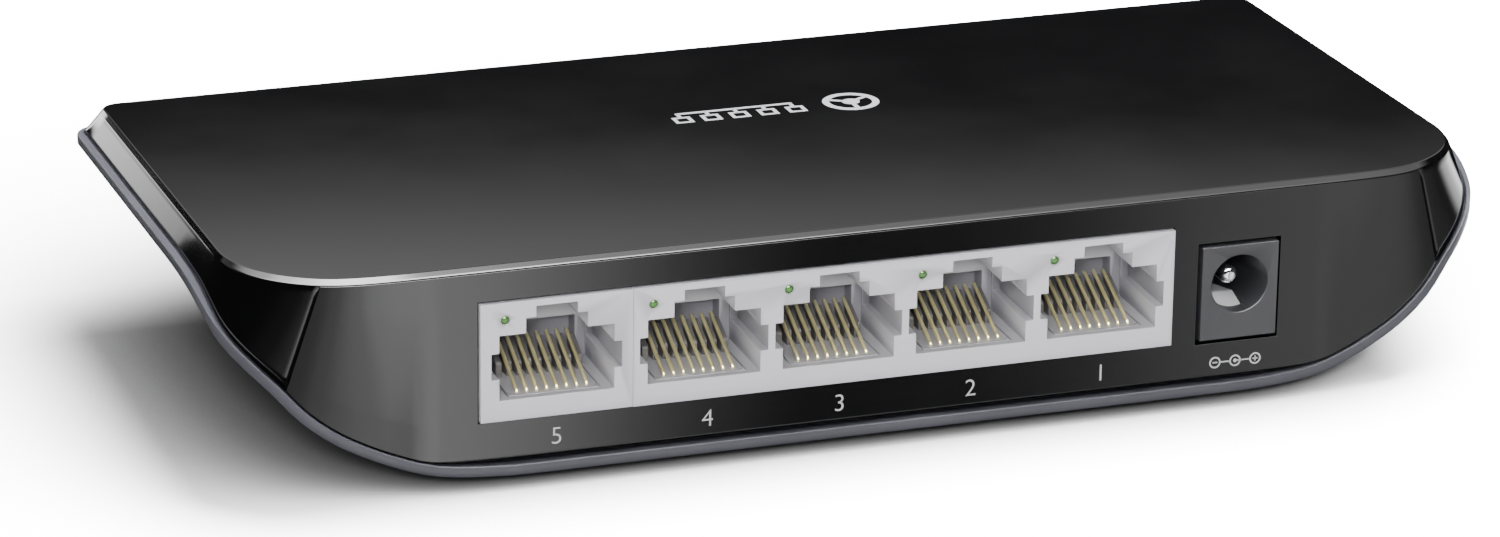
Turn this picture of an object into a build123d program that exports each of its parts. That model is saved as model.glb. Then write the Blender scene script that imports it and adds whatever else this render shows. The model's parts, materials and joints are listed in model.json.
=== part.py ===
"""Five-port desktop network switch: casing, board, sockets, contacts and fasteners.

Millimetres, +Z up. The socket side faces -Y, port 5 is at -X and the power inlet at +X.
The origin is on the resting plane, under the middle of the casing.
"""

from build123d import *
from math import atan, cos, degrees, hypot, radians, sin
import os

os.makedirs("parts", exist_ok=True)

# Casing, driving dimensions
CASE_HEIGHT = 23.0
TOP_HALF_WIDTH = 64.9
TOP_REAR = -31.3
TOP_FRONT = 31.9
TOP_FALL = 0.031
RIM_DROP = 0.65
RIM_OUT = 0.25
BAND_DROP = 1.85
BAND_OUT = 2.05
REAR_CORNER = 13.0
LOW_REAR_CORNER = 11.5
FRONT_CORNER = 2.2
WALL = 1.5
SEAM = 0.12

# Lip of the base, which dips from the sides down to the bottom of the rear panel
LIP_HALF_WIDTH = 67.5
LIP_REAR = -32.8
LIP_FRONT = 32.8
LIP_THICKNESS = 1.12
LIP_LEDGE = 3.4
LIP_LOW = 2.6
LIP_FLAT_HALF = 38.0
LIP_ARC_RUN = 29.35
LIP_ARC_RISE = 18.0
LIP_BOW_X = 61.0
LIP_BOW_Y = -29.9
LIP_SIDE_Y = -19.0

# Underside of the base, which slopes in like a hull
HULL_SLOPE = 0.9
HULL_EDGE_DROP = 1.9
HULL_REAR_RATE = 0.51
HULL_REAR_Y = -18.0
HULL_FRONT_SLOPE = 1.5
HULL_WALL = 1.3

# Rear panel
PANEL_TOP_HALF = 57.6
PANEL_LOW_HALF = 60.9
PANEL_LOW_Z = 11.5

# Circuit board
BOARD_TOP = 6.95
BOARD_THICKNESS = 1.6
BOARD_HALF_WIDTH = 42.3
BOARD_REAR = -29.6
BOARD_FRONT = 21.5

# Modular sockets
JACK_FACE = -32.0
JACK_BACK = -14.5
JACK_TOP = 19.25
PORT_PITCH = 13.97
SINGLE_LEFT = -42.1
SINGLE_WIDTH = 15.47
QUAD_LEFT = -26.61
QUAD_WIDTH = 56.9
SINGLE_MARGIN = 1.92
QUAD_MARGIN = 1.5
PORT_WIDTH = 11.63
PORT_FLOOR = 9.15
PORT_HEIGHT = 6.7
PORT_BACK = -22.4
STEP_ONE = (6.24, 1.6)
STEP_TWO = (4.15, 1.12)
RECESS_OUT = 0.8
RECESS_LOW = 2.2
RECESS_HIGH = 4.87
RECESS_DEPTH = 9.3
LED_OFFSET = 0.57
LED_RISE = 8.31
LED_RADIUS = 0.48
CUTOUT_GAP = 0.12

# Contacts
WIRES = 8
WIRE_PITCH = 1.02
WIRE_RADIUS = 0.2
WIRE_FRONT = -30.2
WIRE_BACK = -23.2
WIRE_RISE = 0.435
WIRE_PIVOT_Z = PORT_FLOOR + 0.05
LEAD_Z = PORT_FLOOR - 1.4
TAIL_ROWS = (-18.9, -16.36)
TAIL_END = 4.5
INSERT_HALF = 4.75
INSERT_FRONT = -31.1
INSERT_PLATE = 0.8
COMB_FRONT = -23.7
COMB_HEIGHT = 4.3
COMB_SLOT = (1.1, 3.9)

# Power inlet
INLET_LEFT = 33.42
INLET_WIDTH = 8.28
INLET_FACE = -31.9
INLET_BACK = -18.5
INLET_TOP = 16.95
BORE_RADIUS = 3.05
BORE_Z = 12.78
BORE_BACK = -21.9
PIN_RADIUS = 1.0
PIN_TIP = -29.5
LEAF_WIDTH = 2.6
LEAF_THICKNESS = 0.3
LEAF_PIVOT = (-20.8, 9.05)
LEAF_CREST = (-27.2, 10.1)
LEAF_TIP = (-29.6, 9.35)
TAB_Y = -20.55

# Screws and feet
CASE_SCREWS = [(x, y) for x in (-45.4, 45.4) for y in (-23.0, 13.0)]
BOARD_SCREWS = [(-38.0, 17.0), (38.0, 17.0), (0.0, 18.5)]
FEET = [(x, y) for x in (-37.5, 37.5) for y in (-22.0, 13.0)]
FOOT_RADIUS = 4.5
FOOT_RECESS = 0.25

BOSS_RADIUS = 3.0
BOSS_BORE = 1.25
BOSS_LOW = 8.0
SCREW_LENGTH = 10.0
SCREW_RECESS = 2.3

# Front power lamp and its light guide
LAMP_X = 30.0
LAMP_Y = 19.0
GUIDE_RADIUS = 0.4
GUIDE_Z = 19.1
GUIDE_END = 32.3

BIG = 60.0
BASE_BOTTOM = LIP_LOW - LIP_THICKNESS
INLET_X = INLET_LEFT + INLET_WIDTH / 2
BAND_HALF_WIDTH = TOP_HALF_WIDTH + RIM_OUT + BAND_OUT
PANEL_FACE = TOP_REAR - RIM_OUT
BAND_LOW = CASE_HEIGHT - RIM_DROP - BAND_DROP


def block(x0, x1, y0, y1, z0, z1):
    """A box between two corners."""
    return Pos((x0 + x1) / 2, (y0 + y1) / 2, (z0 + z1) / 2) * Box(x1 - x0, y1 - y0, z1 - z0)


def post(x, y, z0, z1, radius):
    """An upright cylinder."""
    return Pos(x, y, (z0 + z1) / 2) * Cylinder(radius, z1 - z0)


def rod(x, y0, y1, z, radius):
    """A cylinder along Y."""
    return Pos(x, (y0 + y1) / 2, z) * Rot(90, 0, 0) * Cylinder(radius, y1 - y0)


def group(pieces):
    """Separate solids that share a node."""
    return Compound(children=list(pieces))


def falling_plane(z_at_rear):
    """A plane parallel to the top, which falls towards the front."""
    angle = atan(TOP_FALL)
    return Plane(origin=(0, PANEL_FACE, z_at_rear), x_dir=(1, 0, 0), z_dir=(0, sin(angle), cos(angle)))


def outline(half_width, rear, front, rear_radius, front_radius):
    """A rectangle with its own corner radius at the rear and at the front."""
    face = Pos(0, (rear + front) / 2) * Rectangle(2 * half_width, front - rear)
    face = fillet(face.vertices().group_by(Axis.Y)[0], rear_radius)
    return fillet(face.vertices().group_by(Axis.Y)[-1], front_radius)


def casing_solid(inset, top_inset):
    """The outside of the cover as one solid, or its inside where it is inset."""
    rear_r = REAR_CORNER - inset
    low_r = LOW_REAR_CORNER - inset
    front_r = FRONT_CORNER - inset
    sections = []
    levels = [
        (CASE_HEIGHT - top_inset, 0.0, 0.0, rear_r),
        (CASE_HEIGHT - RIM_DROP - top_inset, RIM_OUT, RIM_OUT, rear_r),
        (BAND_LOW - top_inset, RIM_OUT + BAND_OUT, RIM_OUT, rear_r),
    ]
    for level, side_out, end_out, radius in levels:
        face = outline(
            TOP_HALF_WIDTH + side_out - inset,
            TOP_REAR - end_out + inset - PANEL_FACE,
            TOP_FRONT + end_out - inset - PANEL_FACE,
            radius,
            front_r,
        )
        sections.append(falling_plane(level) * face)
    low = outline(BAND_HALF_WIDTH - inset, PANEL_FACE + inset, TOP_FRONT + RIM_OUT - inset, low_r, front_r)
    sections.append(low)
    return loft(sections, ruled=True)


def above_lip(drop):
    """Everything above the lip's curve: flat in the middle, an elliptical rise at each side."""
    run = LIP_ARC_RUN + drop
    rise = LIP_ARC_RISE + drop
    low = LIP_LOW - drop
    high = low + rise
    side = LIP_FLAT_HALF + run
    right = EllipticalCenterArc((LIP_FLAT_HALF, high), run, rise, start_angle=270, arc_size=90)
    left = EllipticalCenterArc((-LIP_FLAT_HALF, high), run, rise, start_angle=180, arc_size=90)
    edges = [
        Line((-LIP_FLAT_HALF, low), (LIP_FLAT_HALF, low)),
        right,
        Line((side, high), (side, BIG)),
        Line((side, BIG), (-side, BIG)),
        Line((-side, BIG), (-side, high)),
        left,
    ]
    return extrude(Plane.XZ * make_face(edges), amount=BIG, both=True)


def above_side(drop):
    """Everything above the lower edge of the side band."""
    half = Box(4 * BIG, 4 * BIG, BIG, align=(Align.CENTER, Align.CENTER, Align.MIN))
    return falling_plane(BAND_LOW - drop) * half


def cover_zone(drop):
    """Where the cover and the rear panel may be, above the parting line."""
    rear = above_lip(drop) & block(-2 * BIG, 2 * BIG, -BIG, LIP_SIDE_Y, -BIG, BIG)
    return rear + above_side(drop)


def lip_plan(inset):
    """The lip seen from above: nearly straight at the rear, bowed towards its corners."""
    width = LIP_HALF_WIDTH - inset
    rear = LIP_REAR + inset
    front = LIP_FRONT - inset
    bow = (LIP_BOW_X - inset, LIP_BOW_Y + inset)
    side = (width, LIP_SIDE_Y)
    corner_mid = (width - 2.2, (bow[1] + side[1]) / 2 - 2.2)
    bow_mid = ((LIP_FLAT_HALF + bow[0]) / 2, rear + 0.28 * (bow[1] - rear))
    half = [
        Line((0, rear), (LIP_FLAT_HALF, rear)),
        ThreePointArc((LIP_FLAT_HALF, rear), bow_mid, bow),
        ThreePointArc(bow, corner_mid, side),
        Line(side, (width, front - FRONT_CORNER)),
        RadiusArc((width, front - FRONT_CORNER), (width - FRONT_CORNER, front), -FRONT_CORNER),
        Line((width - FRONT_CORNER, front), (0, front)),
    ]
    other = [edge.mirror(Plane.YZ) for edge in half]
    return extrude(make_face(half + other), amount=CASE_HEIGHT)


def side_cutter(inward):
    """The space beside the hull, on the +X side."""
    shift = inward * hypot(1.0, HULL_SLOPE)
    edge_z = BAND_LOW - TOP_FALL * (HULL_REAR_Y - PANEL_FACE) - HULL_EDGE_DROP
    offset = edge_z - HULL_SLOPE * LIP_HALF_WIDTH + shift

    def section(y, rear_shift):
        base = offset - rear_shift
        near = LIP_FLAT_HALF - 10.0
        far = LIP_HALF_WIDTH + 20.0
        low = HULL_SLOPE * near + base
        points = [(near, low), (far, HULL_SLOPE * far + base), (far, low)]
        return Plane(origin=(0, y, 0), x_dir=(1, 0, 0), z_dir=(0, -1, 0)) * make_face(Polyline(*points, close=True))

    rear = section(-BIG, HULL_REAR_RATE * (BIG + HULL_REAR_Y))
    middle = section(HULL_REAR_Y, 0.0)
    front = section(BIG, 2 * TOP_FALL * (BIG - HULL_REAR_Y))
    return loft([rear, middle], ruled=True) + loft([middle, front], ruled=True)


def front_cutter(inward):
    """The space in front of the hull."""
    shift = inward * hypot(1.0, HULL_FRONT_SLOPE)
    edge_z = BAND_LOW - TOP_FALL * (LIP_FRONT - PANEL_FACE) - LIP_THICKNESS
    high = 2 * CASE_HEIGHT
    points = [
        (LIP_FRONT - (edge_z + BIG + shift) / HULL_FRONT_SLOPE, -BIG),
        (LIP_FRONT + (high - edge_z - shift) / HULL_FRONT_SLOPE, high),
        (3 * BIG, high),
        (3 * BIG, -BIG),
    ]
    face = Plane.YZ * make_face(Polyline(*points, close=True))
    return extrude(face, amount=2 * BIG, both=True)


def hull_cutters(inward):
    """All that lies outside the hull's sloping sides and front."""
    side = side_cutter(inward)
    return side + side.mirror(Plane.YZ) + front_cutter(inward)


def panel_prism(gap):
    """The wedge that the rear panel fills between the cover's two corners."""
    slope = (PANEL_LOW_HALF - PANEL_TOP_HALF) / (CASE_HEIGHT - RIM_DROP - PANEL_LOW_Z)
    top = CASE_HEIGHT - RIM_DROP - gap
    top_half = PANEL_TOP_HALF - gap
    low_half = top_half + slope * top
    points = [(-top_half, top), (top_half, top), (low_half, 0), (-low_half, 0)]
    face = Plane.XZ * make_face(Polyline(*points, close=True))
    prism = extrude(face, amount=BIG, both=True)
    return prism & block(-BIG - 10, BIG + 10, LIP_REAR, PANEL_FACE + 2.8, 0, CASE_HEIGHT)


def cover_shell():
    """The outer skin, one wall thick."""
    return casing_solid(0.0, 0.0) - casing_solid(WALL, WALL)


def case_screw_bosses():
    """Posts inside the cover that take the case screws."""
    bosses = []
    for x, y in CASE_SCREWS:
        boss = post(x, y, BOSS_LOW, CASE_HEIGHT, BOSS_RADIUS)
        bosses.append(boss - post(x, y, 0.0, BOSS_LOW + SCREW_LENGTH, BOSS_BORE))
    return bosses


def top_cover():
    """Gloss cover: top plate, flared side bands, corners and screw posts."""
    skin = (cover_shell() & cover_zone(-SEAM)) - panel_prism(0.0)
    for boss in case_screw_bosses():
        skin += boss & casing_solid(WALL / 2, WALL / 2)
    return skin - rod(LAMP_X, GUIDE_END - 4.0, GUIDE_END + 4.0, GUIDE_Z, GUIDE_RADIUS + 0.08)


def socket_cutouts():
    """The two openings of the rear panel."""
    ports = block(
        SINGLE_LEFT - CUTOUT_GAP, QUAD_LEFT + QUAD_WIDTH + CUTOUT_GAP,
        -BIG, 0, BOARD_TOP - CUTOUT_GAP, JACK_TOP + CUTOUT_GAP,
    )
    inlet = block(
        INLET_LEFT - 0.3, INLET_LEFT + INLET_WIDTH + 0.3,
        -BIG, 0, BOARD_TOP - 0.4, INLET_TOP + 0.3,
    )
    return ports + inlet


def rear_panel():
    """Rear panel between the cover's corners, open at the sockets."""
    skin = cover_shell() & panel_prism(SEAM / 2) & cover_zone(-SEAM)
    return skin.solids().sort_by(SortBy.VOLUME)[-1] - socket_cutouts()


def vent_slots():
    """Rows of slots through the base's floor."""
    slots = []
    for row in (-6.0, 4.0):
        for column in range(-4, 5):
            slot = extrude(SlotOverall(8.0, 1.6, rotation=90), amount=2 * LIP_LOW)
            slots.append(Pos(column * 4.5, row, 0) * slot)
    return slots


def base_shell(cover, panel):
    """Base: lip, hull-shaped pan, posts for the board and recesses for feet and screws."""
    lip = (lip_plan(0.0) - lip_plan(LIP_LEDGE)) & (cover_zone(LIP_THICKNESS) - cover_zone(0.0))
    pan = (above_lip(LIP_THICKNESS) - above_lip(0.0)) & lip_plan(1.0)
    sides = (hull_cutters(HULL_WALL) - hull_cutters(0.0)) & above_lip(LIP_THICKNESS) & lip_plan(1.0)
    sides -= above_side(0.0)
    base = lip + (pan - hull_cutters(0.0)) + sides
    for x, y in CASE_SCREWS:
        base += post(x, y, BASE_BOTTOM, BOSS_LOW, BOSS_RADIUS) - hull_cutters(0.0)
    for x, y in BOARD_SCREWS:
        base += post(x, y, BASE_BOTTOM, BOARD_TOP - BOARD_THICKNESS, 2.4)
        base -= post(x, y, LIP_LOW, BOARD_TOP, 0.9)
    for x, y in CASE_SCREWS:
        base -= post(x, y, 0.0, BASE_BOTTOM + SCREW_RECESS, 2.75)
        base -= post(x, y, 0.0, BOSS_LOW + 1.0, 1.6)
    for x, y in FEET:
        base -= post(x, y, 0.0, BASE_BOTTOM + FOOT_RECESS, FOOT_RADIUS + 0.05)
    for slot in vent_slots():
        base -= slot
    base -= cover
    base -= panel
    return base.solids().sort_by(SortBy.VOLUME)[-1]


def rubber_foot(x, y):
    """Round rubber foot with a softened edge."""
    foot = post(x, y, 0.0, BASE_BOTTOM + FOOT_RECESS, FOOT_RADIUS)
    return fillet(foot.edges().sort_by(Axis.Z)[0], 0.35)


def pan_screw(x, y, seat, head_radius, head_height, shank_radius, length):
    """Pan-head screw with its shank upwards and a cross recess in the head."""
    screw = post(x, y, seat - head_height, seat, head_radius) + post(x, y, seat, seat + length, shank_radius)
    for turn in (0, 90):
        bar = Box(1.4 * head_radius, 0.45, head_height)
        screw -= Pos(x, y, seat - head_height) * Rot(0, 0, turn) * bar
    return screw


def case_screws():
    """Four screws that hold the base to the cover."""
    seat = BASE_BOTTOM + SCREW_RECESS
    return group(pan_screw(x, y, seat, 2.5, 1.5, 1.2, SCREW_LENGTH) for x, y in CASE_SCREWS)


def board_screws():
    """Screws that hold the board to the base's posts, heads up."""
    screws = []
    for x, y in BOARD_SCREWS:
        screw = pan_screw(0, 0, 0, 2.0, 1.2, 0.88, 4.2)
        screws.append(Pos(x, y, BOARD_TOP) * Rot(180, 0, 0) * screw)
    return group(screws)


def port_lefts():
    """Left edge of each port's opening, keyed by port number."""
    lefts = {5: SINGLE_LEFT + SINGLE_MARGIN}
    for index, port in enumerate((4, 3, 2, 1)):
        lefts[port] = QUAD_LEFT + QUAD_MARGIN + index * PORT_PITCH
    return lefts


def wire_places(left):
    """X of each of the eight wires of a port."""
    middle = left + PORT_WIDTH / 2
    return [middle + (index - (WIRES - 1) / 2) * WIRE_PITCH for index in range(WIRES)]


def port_cavity(left):
    """All that is hollow in one port: opening, latch steps, recesses and contact pocket."""
    middle = left + PORT_WIDTH / 2
    ceiling = PORT_FLOOR + PORT_HEIGHT
    first, first_rise = STEP_ONE
    second, second_rise = STEP_TWO
    low = PORT_FLOOR + RECESS_LOW
    hollow = block(left, left + PORT_WIDTH, JACK_FACE - 1, PORT_BACK, PORT_FLOOR, ceiling)
    hollow += block(middle - first / 2, middle + first / 2, JACK_FACE - 1, PORT_BACK, PORT_FLOOR, ceiling + first_rise)
    hollow += block(
        middle - second / 2, middle + second / 2,
        JACK_FACE - 1, PORT_BACK, PORT_FLOOR, ceiling + first_rise + second_rise,
    )
    hollow += block(
        left - RECESS_OUT, left + PORT_WIDTH + RECESS_OUT,
        JACK_FACE - 1, JACK_FACE + RECESS_DEPTH, low, PORT_FLOOR + RECESS_HIGH,
    )
    pocket_low = LEAD_Z - 0.4
    hollow += block(middle - INSERT_HALF, middle + INSERT_HALF, INSERT_FRONT, PORT_BACK, pocket_low, PORT_FLOOR + 1)
    hollow += block(middle - INSERT_HALF, middle + INSERT_HALF, INSERT_FRONT, -15.6, pocket_low, LEAD_Z + 0.4)
    hollow += block(middle - INSERT_HALF, middle + INSERT_HALF, -19.6, -15.6, 0, LEAD_Z)
    hollow += block(middle - INSERT_HALF, middle + INSERT_HALF, PORT_BACK - 1, -20.4, PORT_FLOOR, PORT_FLOOR + COMB_HEIGHT)
    return hollow


def jack_housing(left, width, ports):
    """Moulded socket block with one cavity and one lamp hole for each port."""
    body = block(left, left + width, JACK_FACE, JACK_BACK, BOARD_TOP, JACK_TOP)
    lefts = port_lefts()
    for port in ports:
        body -= port_cavity(lefts[port])
        body -= rod(lefts[port] + LED_OFFSET, -40.0, 0.0, PORT_FLOOR + LED_RISE, LED_RADIUS + 0.04)
    return body


def contact_insert(left):
    """Plate in the port's floor, with the slotted comb that guides the wires' free ends."""
    middle = left + PORT_WIDTH / 2
    half = INSERT_HALF - 0.06
    plate = block(middle - half, middle + half, INSERT_FRONT + 0.06, PORT_BACK, PORT_FLOOR - INSERT_PLATE, PORT_FLOOR)
    comb = block(middle - half, middle + half, COMB_FRONT, PORT_BACK, PORT_FLOOR, PORT_FLOOR + COMB_HEIGHT)
    insert = plate + comb
    for x in wire_places(left):
        insert -= block(x - 0.3, x + 0.3, WIRE_FRONT - 0.55, WIRE_FRONT + 1.6, 0, PORT_FLOOR + 1)
        insert -= block(
            x - 0.3, x + 0.3,
            COMB_FRONT - 1, PORT_BACK + 1, PORT_FLOOR + COMB_SLOT[0], PORT_FLOOR + COMB_SLOT[1],
        )
    return insert


def contact_springs(left):
    """Eight sprung wires, each with its front bend and its raised free end."""
    wires = []
    for x in wire_places(left):
        back_z = WIRE_PIVOT_Z + WIRE_RISE * (WIRE_BACK - WIRE_FRONT)
        points = [(x, WIRE_FRONT, PORT_FLOOR - 0.85), (x, WIRE_FRONT, WIRE_PIVOT_Z + 0.15), (x, WIRE_BACK, back_z)]
        path = FilletPolyline(*points, radius=0.3)
        start = Plane(origin=points[0], z_dir=(0, 0, 1)) * Circle(WIRE_RADIUS)
        wires.append(sweep(start, path=path))
    return group(wires)


def contact_leads(left):
    """Eight fixed leads that run under the insert and down through the board."""
    leads = []
    for index, x in enumerate(wire_places(left)):
        tail = TAIL_ROWS[index % 2]
        points = [(x, WIRE_FRONT, LEAD_Z), (x, tail, LEAD_Z), (x, tail, TAIL_END)]
        path = FilletPolyline(*points, radius=0.35)
        start = Plane(origin=points[0], z_dir=(0, 1, 0)) * Circle(WIRE_RADIUS)
        leads.append(sweep(start, path=path))
    return group(leads)


def led_lens(left):
    """Light guide with a domed tip at the socket's face."""
    guide = rod(left + LED_OFFSET, JACK_FACE - 0.02, JACK_BACK, PORT_FLOOR + LED_RISE, LED_RADIUS)
    return fillet(guide.edges().sort_by(Axis.Y)[0], 0.2)


def dc_jack_housing():
    """Power inlet body with its bore, leaf slot and pin hole."""
    body = block(INLET_LEFT, INLET_LEFT + INLET_WIDTH, INLET_FACE, INLET_BACK, BOARD_TOP, INLET_TOP)
    body -= rod(INLET_X, INLET_FACE - 1, BORE_BACK, BORE_Z, BORE_RADIUS)
    body -= rod(INLET_X, BORE_BACK - 1, 0, BORE_Z, PIN_RADIUS)
    slot = LEAF_WIDTH / 2 + 0.2
    body -= block(INLET_X - slot, INLET_X + slot, LEAF_TIP[0] - 0.5, INLET_BACK - 0.8, 7.9, BORE_Z - 2.2)
    return body - block(INLET_X - slot, INLET_X + slot, TAB_Y - 0.4, TAB_Y + 0.5, 0, BORE_Z - 2.2)


def dc_centre_pin():
    """Round centre pin with a rounded tip, set in the back of the inlet."""
    pin = rod(INLET_X, PIN_TIP, INLET_BACK, BORE_Z, PIN_RADIUS)
    return fillet(pin.edges().sort_by(Axis.Y)[0], 0.7)


def dc_leaf_spring():
    """Leaf that presses on the plug's sleeve, crested towards the bore."""
    points = [LEAF_PIVOT, (LEAF_PIVOT[0] - 1.4, LEAF_PIVOT[1]), LEAF_CREST, LEAF_TIP]
    upper = [(y, z + LEAF_THICKNESS / 2) for y, z in points]
    lower = [(y, z - LEAF_THICKNESS / 2) for y, z in reversed(points)]
    face = Plane.YZ * make_face(Polyline(*upper, *lower, close=True))
    return Pos(INLET_X, 0, 0) * extrude(face, amount=LEAF_WIDTH / 2, both=True)


def dc_terminals():
    """Two flat tabs of the inlet that pass through the board."""
    leaf_tab = block(INLET_X - 1.1, INLET_X + 1.1, TAB_Y, TAB_Y + 0.3, TAIL_END, 9.4)
    pin_tab = block(INLET_X - 1.1, INLET_X + 1.1, INLET_BACK, INLET_BACK + 0.35, TAIL_END, BORE_Z + 0.9)
    return group([leaf_tab, pin_tab])


def circuit_board():
    """Board with holes for the screws, the contact tails and the inlet tabs."""
    board = block(
        -BOARD_HALF_WIDTH, BOARD_HALF_WIDTH, BOARD_REAR, BOARD_FRONT,
        BOARD_TOP - BOARD_THICKNESS, BOARD_TOP,
    )
    holes = [post(x, y, 0, 10, 1.05) for x, y in BOARD_SCREWS]
    for left in port_lefts().values():
        for index, x in enumerate(wire_places(left)):
            holes.append(post(x, TAIL_ROWS[index % 2], 0, 10, 0.36))
    holes.append(block(INLET_X - 1.3, INLET_X + 1.3, TAB_Y - 0.2, TAB_Y + 0.5, 0, 10))
    holes.append(block(INLET_X - 1.3, INLET_X + 1.3, INLET_BACK - 0.2, INLET_BACK + 0.6, 0, 10))
    return board - holes


def chip(x, y, width, depth, height, legs, pitch):
    """Moulded chip with gull legs along its front and rear sides."""
    body = Pos(x, y, BOARD_TOP + 0.15 + height / 2) * Box(width, depth, height)
    body = chamfer(body.edges().group_by(Axis.Z)[-1], 0.15)
    for side in (-1, 1):
        for index in range(legs):
            leg_x = x + (index - (legs - 1) / 2) * pitch
            toe = y + side * (depth / 2 + 0.35)
            body += Pos(leg_x, toe, BOARD_TOP + 0.1) * Box(0.45 * pitch, 1.0, 0.2)
            body += Pos(leg_x, y + side * (depth / 2 + 0.1), BOARD_TOP + 0.35) * Box(0.45 * pitch, 0.3, 0.5)
    return body


def heat_sink():
    """Finned block on the switch chip."""
    low = BOARD_TOP + 0.15 + 1.2
    sink = Pos(-12.0, 8.5, low + 3.0) * Box(13.0, 13.0, 6.0)
    for index in range(6):
        sink -= Pos(-12.0 + (index - 2.5) * 2.1, 8.5, low + 4.0) * Box(1.2, 14.0, 5.0)
    return sink


def magnetics(left):
    """Transformer module behind a port."""
    return chip(left + PORT_WIDTH / 2, -7.5, 12.4, 7.6, 4.2, 8, 1.27)


def crystal():
    """Oval metal can of the clock crystal."""
    can = extrude(SlotOverall(11.0, 4.6), amount=3.4)
    return Pos(6.5, 8.5, BOARD_TOP) * fillet(can.edges().group_by(Axis.Z)[-1], 0.5)


def capacitor_can(x, y):
    """Aluminium can capacitor on a square foot."""
    can = post(x, y, BOARD_TOP + 0.6, BOARD_TOP + 7.7, 3.15)
    can = fillet(can.edges().sort_by(Axis.Z)[-1], 0.4)
    return can + block(x - 3.3, x + 3.3, y - 3.3, y + 3.3, BOARD_TOP, BOARD_TOP + 0.8)


def power_inductor():
    """Square shielded inductor."""
    body = Pos(26.0, 9.0, BOARD_TOP + 1.7) * Box(7.0, 7.0, 3.4)
    return chamfer(body.edges().filter_by(Axis.Z), 1.2)


def chip_passives():
    """Small resistors and capacitors in two rows, as separate solids."""
    pieces = []
    for index in range(18):
        x = -36.0 + index * 3.9
        pieces.append(Pos(x, 0.2, BOARD_TOP + 0.25) * Box(1.6, 0.8, 0.5))
    return group(pieces)


def power_led():
    """Small lamp under the light guide of the front window."""
    body = Pos(LAMP_X, LAMP_Y, BOARD_TOP + 0.4) * Box(2.0, 1.25, 0.8)
    return chamfer(body.edges().group_by(Axis.Z)[-1], 0.2)


def power_light_guide():
    """Clear guide from the lamp up to the window in the front band."""
    points = [
        (LAMP_X, LAMP_Y, BOARD_TOP + 1.0),
        (LAMP_X, LAMP_Y, GUIDE_Z - 3.0),
        (LAMP_X, LAMP_Y + 5.0, GUIDE_Z),
        (LAMP_X, GUIDE_END, GUIDE_Z),
    ]
    path = FilletPolyline(*points, radius=1.5)
    return sweep(Plane(origin=points[0], z_dir=(0, 0, 1)) * Circle(GUIDE_RADIUS), path=path)


def rating_label():
    """Blank label under the base."""
    plate = extrude(RectangleRounded(30.0, 14.0, 1.5), amount=0.1)
    return Pos(0, -20.0, BASE_BOTTOM - 0.1) * plate


def all_parts():
    """Every sub-part by node name."""
    cover = top_cover()
    panel = rear_panel()
    parts = {
        "top_cover": cover,
        "rear_panel": panel,
        "base_shell": base_shell(cover, panel),
        "case_screws": case_screws(),
        "board_screws": board_screws(),
        "circuit_board": circuit_board(),
        "jack_housing_single": jack_housing(SINGLE_LEFT, SINGLE_WIDTH, (5,)),
        "jack_housing_quad": jack_housing(QUAD_LEFT, QUAD_WIDTH, (4, 3, 2, 1)),
        "dc_jack_housing": dc_jack_housing(),
        "dc_centre_pin": dc_centre_pin(),
        "dc_leaf_spring": dc_leaf_spring(),
        "dc_terminals": dc_terminals(),
        "switch_chip": chip(-12.0, 8.5, 14.0, 14.0, 1.2, 16, 0.8),
        "heat_sink": heat_sink(),
        "memory_chip": chip(-30.0, 8.0, 5.0, 4.0, 1.5, 4, 1.27),
        "regulator_chip": chip(17.5, 9.0, 5.0, 4.0, 1.5, 4, 1.27),
        "power_inductor": power_inductor(),
        "crystal": crystal(),
        "chip_passives": chip_passives(),
        "power_led": power_led(),
        "power_light_guide": power_light_guide(),
        "rating_label": rating_label(),
    }
    for index, (x, y) in enumerate(FEET, 1):
        parts[f"rubber_foot_{index}"] = rubber_foot(x, y)
    for index, y in enumerate((-11.0, -2.5), 1):
        parts[f"capacitor_can_{index}"] = capacitor_can(36.5, y)
    for port, left in port_lefts().items():
        parts[f"contact_insert_{port}"] = contact_insert(left)
        parts[f"contact_springs_{port}"] = contact_springs(left)
        parts[f"contact_leads_{port}"] = contact_leads(left)
        parts[f"led_lens_{port}"] = led_lens(left)
        parts[f"magnetics_{port}"] = magnetics(left)
    return parts


for name, part in all_parts().items():
    export_step(part, f"parts/{name}.step")
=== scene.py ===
"""Looks of the desktop network switch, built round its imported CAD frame, in millimetres."""

import json
import math
from bisect import bisect_left

import bmesh
import bpy
from mathutils import Matrix, Vector


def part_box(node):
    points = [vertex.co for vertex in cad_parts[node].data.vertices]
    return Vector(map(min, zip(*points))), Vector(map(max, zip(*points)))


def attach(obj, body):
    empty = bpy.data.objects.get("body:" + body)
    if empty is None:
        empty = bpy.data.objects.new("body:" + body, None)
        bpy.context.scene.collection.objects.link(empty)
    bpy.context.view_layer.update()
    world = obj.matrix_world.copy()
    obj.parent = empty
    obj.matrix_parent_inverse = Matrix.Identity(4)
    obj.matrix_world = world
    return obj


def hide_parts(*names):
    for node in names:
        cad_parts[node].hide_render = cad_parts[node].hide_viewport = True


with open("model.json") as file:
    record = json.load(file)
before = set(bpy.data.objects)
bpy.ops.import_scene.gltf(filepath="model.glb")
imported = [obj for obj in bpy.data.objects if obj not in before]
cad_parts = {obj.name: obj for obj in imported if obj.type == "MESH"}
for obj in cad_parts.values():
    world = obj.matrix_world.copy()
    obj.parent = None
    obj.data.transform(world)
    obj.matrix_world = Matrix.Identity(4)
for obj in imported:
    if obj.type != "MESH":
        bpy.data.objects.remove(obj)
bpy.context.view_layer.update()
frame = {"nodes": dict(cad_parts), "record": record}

NODES = frame["nodes"]
ROOT = "switch_body"
MM = 0.001

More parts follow.
